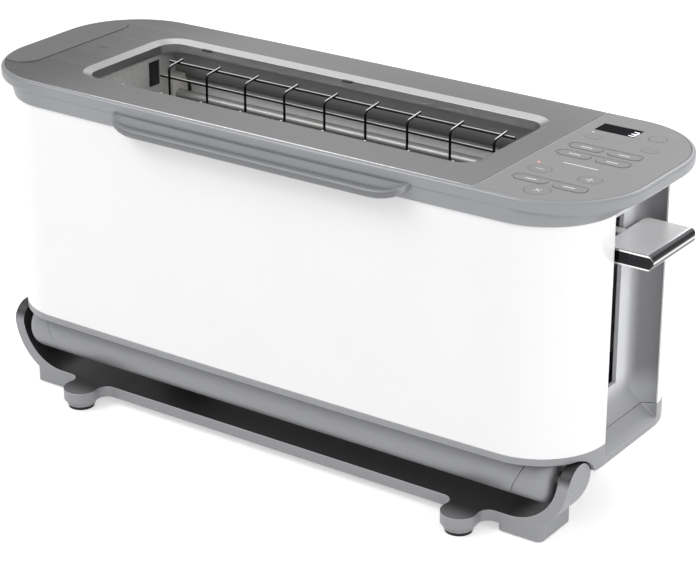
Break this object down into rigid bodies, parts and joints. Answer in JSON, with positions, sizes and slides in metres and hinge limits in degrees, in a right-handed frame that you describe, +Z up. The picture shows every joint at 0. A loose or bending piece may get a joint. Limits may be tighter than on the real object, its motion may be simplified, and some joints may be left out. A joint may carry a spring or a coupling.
{
  "type": "flip toaster",
  "caption": "Long-slot toaster on a low cradle: the white body tips forward on end pivots; steel top, side lever, crumb tray and key panel.",
  "frame": {"origin": "on the counter, under the middle of the toaster's overall length and depth", "axes": "+X to the lever and control end, +Y to the back, +Z up"},
  "size_m": [0.4676, 0.1696, 0.2168],
  "materials": {
    "grey_plastic": "satin moulded silver grey",
    "white_enamel": "gloss white",
    "trim_plastic": "satin silver grey",
    "plate_steel": "brushed along its length",
    "panel_plastic": "fine matt grey",
    "key_plastic": "fine matt grey",
    "display_plastic": "smoked",
    "lamp_plastic": "lit lamp",
    "circuit_board": "printed board",
    "bright_chrome": "polished",
    "wire_chrome": "polished wire",
    "chamber_steel": "dull sheet",
    "reflector_sheet": "bright sheet",
    "quartz": "clear tube",
    "ceramic_block": "unglazed",
    "rod_steel": "ground",
    "rubber_foot": "matt",
    "spring_steel": "plain"
  },
  "bodies": {
    "base": {"base_cradle": "grey_plastic", "front_feet": "rubber_foot", "rear_feet": "rubber_foot", "rest_bumpers": "rubber_foot", "pivot_pins": "rod_steel"},
    "housing": {"lower_shell": "grey_plastic", "front_panel": "white_enamel", "rear_panel": "white_enamel", "top_trim": "trim_plastic", "right_end_cover": "trim_plastic", "top_plate": "plate_steel", "control_panel": "panel_plastic", "left_grip": "panel_plastic", "display_window": "display_plastic", "status_lights": "lamp_plastic", "key_board": "circuit_board", "power_board": "circuit_board", "display_board": "circuit_board", "throat_liner": "chamber_steel", "left_end_plate": "chamber_steel", "right_end_plate": "chamber_steel", "rod_bracket": "chamber_steel", "latch_magnet": "chamber_steel", "front_reflector": "reflector_sheet", "rear_reflector": "reflector_sheet", "front_heaters": "quartz", "rear_heaters": "quartz", "heater_holders": "ceramic_block", "guide_rods": "rod_steel", "shell_screws": "rod_steel", "cord_gland": "rubber_foot"},
    "lever": {"lever_paddle": "bright_chrome", "lever_neck": "bright_chrome", "carriage_plate": "chamber_steel", "bread_rack": "chamber_steel", "latch_keeper": "chamber_steel", "return_spring": "spring_steel"},
    "front_guard_grid": {"front_guard": "wire_chrome"},
    "rear_guard_grid": {"rear_guard": "wire_chrome"},
    "crumb_tray": {"tray_front": "grey_plastic", "tray_pan": "chamber_steel"},
    "row1_left_key_cap": {"row1_left_key": "key_plastic"},
    "row1_right_key_cap": {"row1_right_key": "key_plastic"},
    "row2_left_key_cap": {"row2_left_key": "key_plastic"},
    "row2_right_key_cap": {"row2_right_key": "key_plastic"},
    "row3_left_key_cap": {"row3_left_key": "key_plastic"},
    "row3_right_key_cap": {"row3_right_key": "key_plastic"},
    "minus_key_cap": {"minus_key": "key_plastic"},
    "plus_key_cap": {"plus_key": "key_plastic"},
    "cancel_key_cap": {"cancel_key": "key_plastic"},
    "power_key_cap": {"power_key": "key_plastic"},
    "unit_key_cap": {"unit_key": "key_plastic"},
    "start_key_cap": {"start_key": "key_plastic"}
  },
  "joints": [
    {"name": "flip", "type": "hinge", "parent": "base", "child": "housing", "pos_m": [0, -0.04665, 0.0388], "axis": [1, 0, 0], "range_deg": [0, 90]},
    {"name": "lever_slide", "type": "slide", "parent": "housing", "child": "lever", "axis": [0, 0, -1], "range_m": [0, 0.088], "stiffness_N_per_m": 60, "springref_m": -0.1, "deforming": ["return_spring"]},
    {"name": "front_guard_tilt", "type": "hinge", "parent": "housing", "child": "front_guard_grid", "pos_m": [0, -0.01615, 0.072], "axis": [1, 0, 0], "range_deg": [-2.5, 0]},
    {"name": "rear_guard_tilt", "type": "hinge", "parent": "housing", "child": "rear_guard_grid", "pos_m": [0, 0.02685, 0.072], "axis": [1, 0, 0], "range_deg": [0, 2.5]},
    {"name": "tray_slide", "type": "slide", "parent": "housing", "child": "crumb_tray", "axis": [0, 1, 0], "range_m": [-0.11, 0]},
    {"name": "row1_left_key_press", "type": "slide", "parent": "housing", "child": "row1_left_key_cap", "axis": [0, 0, -1], "range_m": [0, 0.0008], "stiffness_N_per_m": 500, "springref_m": -0.0006},
    {"name": "row1_right_key_press", "type": "slide", "parent": "housing", "child": "row1_right_key_cap", "axis": [0, 0, -1], "range_m": [0, 0.0008], "stiffness_N_per_m": 500, "springref_m": -0.0006},
    {"name": "row2_left_key_press", "type": "slide", "parent": "housing", "child": "row2_left_key_cap", "axis": [0, 0, -1], "range_m": [0, 0.0008], "stiffness_N_per_m": 500, "springref_m": -0.0006},
    {"name": "row2_right_key_press", "type": "slide", "parent": "housing", "child": "row2_right_key_cap", "axis": [0, 0, -1], "range_m": [0, 0.0008], "stiffness_N_per_m": 500, "springref_m": -0.0006},
    {"name": "row3_left_key_press", "type": "slide", "parent": "housing", "child": "row3_left_key_cap", "axis": [0, 0, -1], "range_m": [0, 0.0008], "stiffness_N_per_m": 500, "springref_m": -0.0006},
    {"name": "row3_right_key_press", "type": "slide", "parent": "housing", "child": "row3_right_key_cap", "axis": [0, 0, -1], "range_m": [0, 0.0008], "stiffness_N_per_m": 500, "springref_m": -0.0006},
    {"name": "minus_key_press", "type": "slide", "parent": "housing", "child": "minus_key_cap", "axis": [0, 0, -1], "range_m": [0, 0.0008], "stiffness_N_per_m": 500, "springref_m": -0.0006},
    {"name": "plus_key_press", "type": "slide", "parent": "housing", "child": "plus_key_cap", "axis": [0, 0, -1], "range_m": [0, 0.0008], "stiffness_N_per_m": 500, "springref_m": -0.0006},
    {"name": "cancel_key_press", "type": "slide", "parent": "housing", "child": "cancel_key_cap", "axis": [0, 0, -1], "range_m": [0, 0.0008], "stiffness_N_per_m": 500, "springref_m": -0.0006},
    {"name": "power_key_press", "type": "slide", "parent": "housing", "child": "power_key_cap", "axis": [0, 0, -1], "range_m": [0, 0.0008], "stiffness_N_per_m": 500, "springref_m": -0.0006},
    {"name": "unit_key_press", "type": "slide", "parent": "housing", "child": "unit_key_cap", "axis": [0, 0, -1], "range_m": [0, 0.0008], "stiffness_N_per_m": 500, "springref_m": -0.0006},
    {"name": "start_key_press", "type": "slide", "parent": "housing", "child": "start_key_cap", "axis": [0, 0, -1], "range_m": [0, 0.0008], "stiffness_N_per_m": 500, "springref_m": -0.0006}
  ],
  "couplings": [
    {"joint": "front_guard_tilt", "follows": "lever_slide", "rad_per_m": -0.495},
    {"joint": "rear_guard_tilt", "follows": "lever_slide", "rad_per_m": 0.495}
  ]
}
